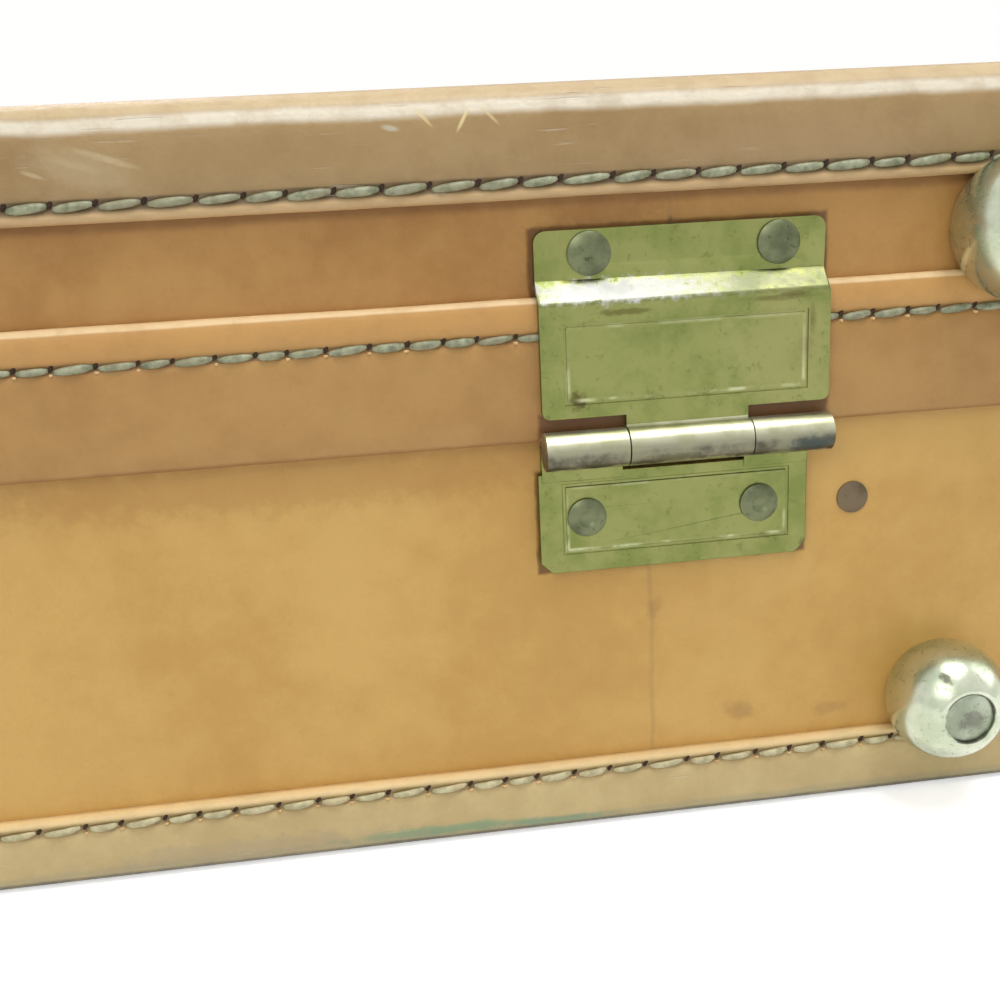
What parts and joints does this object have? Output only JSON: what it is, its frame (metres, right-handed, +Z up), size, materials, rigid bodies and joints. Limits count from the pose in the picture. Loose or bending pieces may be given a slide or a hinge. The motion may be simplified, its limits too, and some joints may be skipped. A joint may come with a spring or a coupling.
{
  "type": "briefcase",
  "caption": "Hard-sided leather attache case with a hinged lid, riveted brass hinges and locks, ball feet on the back and a carrying handle.",
  "frame": {"origin": "middle of the case's underside", "axes": "+Z up through the lid, +Y towards the hinged back, +X along the length, to the right of a person who faces the handle"},
  "size_m": [0.4614, 0.3578, 0.1005],
  "materials": {
    "base_hide": "smooth tan hide, mottled",
    "lid_hide": "smooth tan hide, darker",
    "valance_hide": "smooth tan hide",
    "binding_hide": "worn pale hide",
    "grip_hide": "polished by hands",
    "frame_board": "raw board",
    "lining_cloth": "woven lining",
    "aged_brass": "lacquered brass, tarnished",
    "nickel_silver": "polished, tarnished",
    "rivet_steel": "dull, worn plating",
    "plain_steel": "plain"
  },
  "bodies": {
    "base": {"ball_foot_base_left": "nickel_silver", "ball_foot_base_right": "nickel_silver", "base_binding": "binding_hide", "base_bottom_leather": "base_hide", "base_floor_board": "frame_board", "base_frame_walls": "frame_board", "base_lining_floor": "lining_cloth", "base_lining_walls": "lining_cloth", "base_wall_leather": "base_hide", "foot_rivets_base": "rivet_steel", "handle_mount_left": "aged_brass", "handle_mount_right": "aged_brass", "handle_mount_rivets": "aged_brass", "hinge_backing_plates_base": "plain_steel", "hinge_base_leaf_left": "aged_brass", "hinge_base_leaf_right": "aged_brass", "hinge_pins": "plain_steel", "hinge_rivets_base": "rivet_steel", "lock_case_left": "aged_brass", "lock_case_right": "aged_brass", "lock_case_rivets": "aged_brass", "lock_springs": "plain_steel", "stay_track_left": "aged_brass", "stay_track_right": "aged_brass", "stay_track_rivets": "aged_brass", "tack_rivets": "rivet_steel"},
    "lid": {"lid_frame_walls": "frame_board", "lid_top_board": "frame_board", "lid_wall_leather": "lid_hide", "lid_top_leather": "lid_hide", "lid_binding": "binding_hide", "lid_valance": "valance_hide", "lid_lining_walls": "lining_cloth", "lid_lining_top": "lining_cloth", "document_pocket_panel": "lining_cloth", "document_pocket_gusset": "lining_cloth", "hinge_lid_leaf_left": "aged_brass", "hinge_lid_leaf_right": "aged_brass", "hinge_backing_plates_lid": "plain_steel", "hinge_rivets_lid": "rivet_steel", "ball_foot_lid_left": "nickel_silver", "ball_foot_lid_right": "nickel_silver", "foot_rivets_lid": "rivet_steel", "hasp_plate_left": "aged_brass", "hasp_plate_right": "aged_brass", "hasp_pins": "plain_steel", "hasp_plate_rivets": "aged_brass", "stay_bracket_left": "aged_brass", "stay_bracket_right": "aged_brass", "stay_bracket_rivets": "aged_brass"},
    "hasp_left": {"hasp_left": "aged_brass"},
    "hasp_right": {"hasp_right": "aged_brass"},
    "latch_button_left": {"latch_button_left": "aged_brass"},
    "latch_button_right": {"latch_button_right": "aged_brass"},
    "stay_arm_left": {"stay_arm_left": "aged_brass"},
    "stay_arm_right": {"stay_arm_right": "aged_brass"},
    "handle": {"handle_core": "plain_steel", "handle_grip": "grip_hide", "handle_loops": "aged_brass"}
  },
  "joints": [
    {"name": "lid_hinge", "type": "hinge", "parent": "base", "child": "lid", "pos_m": [0, 0.1687, 0.0551], "axis": [-1, 0, 0], "range_deg": [0, 100]},
    {"name": "stay_left_pivot", "type": "hinge", "parent": "lid", "child": "stay_arm_left", "pos_m": [-0.2193, 0.1337, 0.0643], "axis": [1, 0, 0], "range_deg": [0, 105]},
    {"name": "stay_right_pivot", "type": "hinge", "parent": "lid", "child": "stay_arm_right", "pos_m": [0.2193, 0.1337, 0.0643], "axis": [1, 0, 0], "range_deg": [0, 105]},
    {"name": "hasp_left_hinge", "type": "hinge", "parent": "lid", "child": "hasp_left", "pos_m": [-0.15, -0.1707, 0.06], "axis": [-1, 0, 0], "range_deg": [0, 110]},
    {"name": "hasp_right_hinge", "type": "hinge", "parent": "lid", "child": "hasp_right", "pos_m": [0.15, -0.1707, 0.06], "axis": [-1, 0, 0], "range_deg": [0, 110]},
    {"name": "button_left_slide", "type": "slide", "parent": "base", "child": "latch_button_left", "axis": [-1, 0, 0], "range_m": [0, 0.005], "stiffness_N_per_m": 120, "springref_m": -0.002},
    {"name": "button_right_slide", "type": "slide", "parent": "base", "child": "latch_button_right", "axis": [1, 0, 0], "range_m": [0, 0.005], "stiffness_N_per_m": 120, "springref_m": -0.002},
    {"name": "handle_swing", "type": "hinge", "parent": "base", "child": "handle", "pos_m": [0, -0.1702, 0.044], "axis": [-1, 0, 0], "range_deg": [0, 135]}
  ],
  "couplings": [
    {"joint": "stay_left_pivot", "follows": "lid_hinge", "ratio": 1.05},
    {"joint": "stay_right_pivot", "follows": "lid_hinge", "ratio": 1.05}
  ]
}
